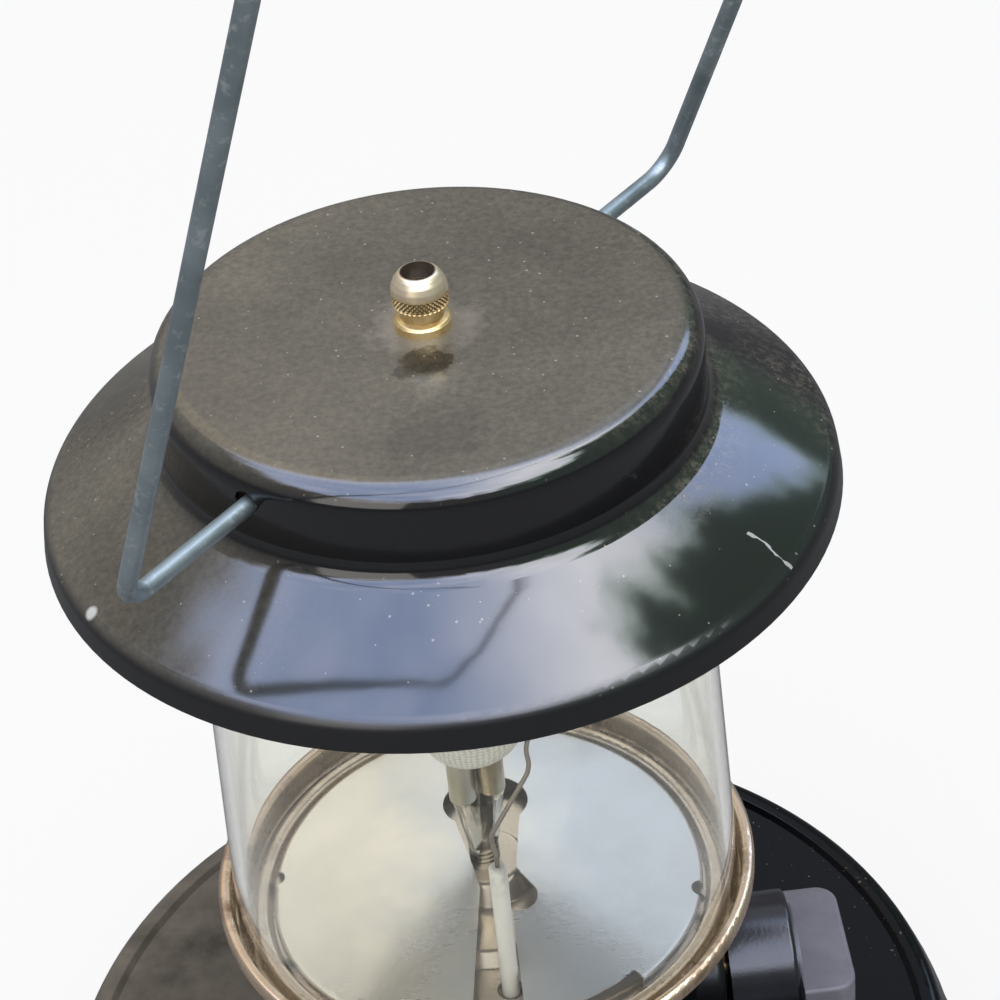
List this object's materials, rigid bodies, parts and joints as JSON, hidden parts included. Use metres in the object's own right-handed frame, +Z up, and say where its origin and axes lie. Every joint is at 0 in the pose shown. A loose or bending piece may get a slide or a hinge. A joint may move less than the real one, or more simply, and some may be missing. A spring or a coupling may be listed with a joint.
{
  "type": "propane lantern",
  "caption": "Double-mantle propane lantern with enamelled ventilator, wire bail, glass globe, nickel pan, control knob and push-button igniter, standing in a round moulded base.",
  "frame": {"origin": "centre of the stand's underside, on the lantern's axis", "axes": "+Z up along the lantern's axis, +X towards the control knob, -Y towards the front, where the electrode stands"},
  "size_m": [0.2186, 0.2186, 0.413],
  "materials": {
    "black_enamel": "gloss enamel",
    "brass": "polished, a little dulled",
    "zinc_wire": "dull zinc plating",
    "clear_glass": "clear, polished",
    "nickel": "nickel plating, heat-stained",
    "dull_nickel": "heat-dulled nickel plating",
    "bright_aluminium": "bright rolled sheet",
    "white_ceramic": "satin glazed",
    "black_plastic": "satin moulded",
    "stand_plastic": "gloss moulded",
    "knob_plastic": "satin moulded",
    "cast_metal": "fine cast, heat-dulled",
    "valve_brass": "machined",
    "steel": "zinc plated",
    "rubber": "matte",
    "mantle_cloth": "burnt-in open weave",
    "lead_sleeve": "matte"
  },
  "bodies": {
    "stand": {"base_dish": "stand_plastic"},
    "lantern": {"housing_front": "black_plastic", "housing_rear": "black_plastic", "housing_screws": "steel", "regulator_body": "valve_brass", "valve_port": "valve_brass", "inlet_seal": "rubber", "depressor_pin": "steel", "regulator_cap": "cast_metal", "packing_nut": "valve_brass", "igniter_body": "black_plastic", "igniter_nut": "black_plastic", "igniter_lead": "lead_sleeve", "electrode_insulator": "white_ceramic", "electrode_wire": "steel", "electrode_clip": "steel", "globe_pan": "nickel", "pan_screws": "steel", "heat_plate": "bright_aluminium", "jet_nut": "nickel", "stem_tube": "nickel", "air_tube_left": "dull_nickel", "air_tube_right": "dull_nickel", "burner_head": "cast_metal", "burner_cap_front": "nickel", "burner_cap_back": "nickel", "mantle_front": "mantle_cloth", "mantle_back": "mantle_cloth", "top_stud": "steel", "stud_nuts": "steel", "upper_baffle": "bright_aluminium"},
    "knob": {"knob": "knob_plastic", "valve_stem": "valve_brass"},
    "button": {"igniter_button": "knob_plastic"},
    "globe": {"globe": "clear_glass"},
    "ventilator": {"ventilator": "black_enamel"},
    "ball_nut": {"ball_nut": "brass"},
    "bail": {"bail": "zinc_wire"}
  },
  "joints": [
    {"name": "lantern_lift", "type": "slide", "parent": "stand", "child": "lantern", "axis": [0, 0, 1], "range_m": [0, 0.06]},
    {"name": "knob_turn", "type": "hinge", "parent": "lantern", "child": "knob", "pos_m": [0.06, 0, 0.051], "axis": [1, 0, 0], "range_deg": [0, 270]},
    {"name": "igniter_press", "type": "slide", "parent": "lantern", "child": "button", "axis": [-0.5, 0.866, 0], "range_m": [0, 0.004], "stiffness_N_per_m": 400, "springref_m": -0.005},
    {"name": "globe_lift", "type": "slide", "parent": "lantern", "child": "globe", "axis": [0, 0, 1], "range_m": [0, 0.17]},
    {"name": "ventilator_lift", "type": "slide", "parent": "globe", "child": "ventilator", "axis": [0, 0, 1], "range_m": [0, 0.06]},
    {"name": "nut_turn", "type": "hinge", "parent": "ventilator", "child": "ball_nut", "pos_m": [0, 0, 0.244], "axis": [0, 0, 1], "continuous": true},
    {"name": "bail_swing", "type": "hinge", "parent": "ventilator", "child": "bail", "pos_m": [0, 0, 0.2299], "axis": [0.6665, 0.7455, 0], "range_deg": [-160, 115]}
  ]
}
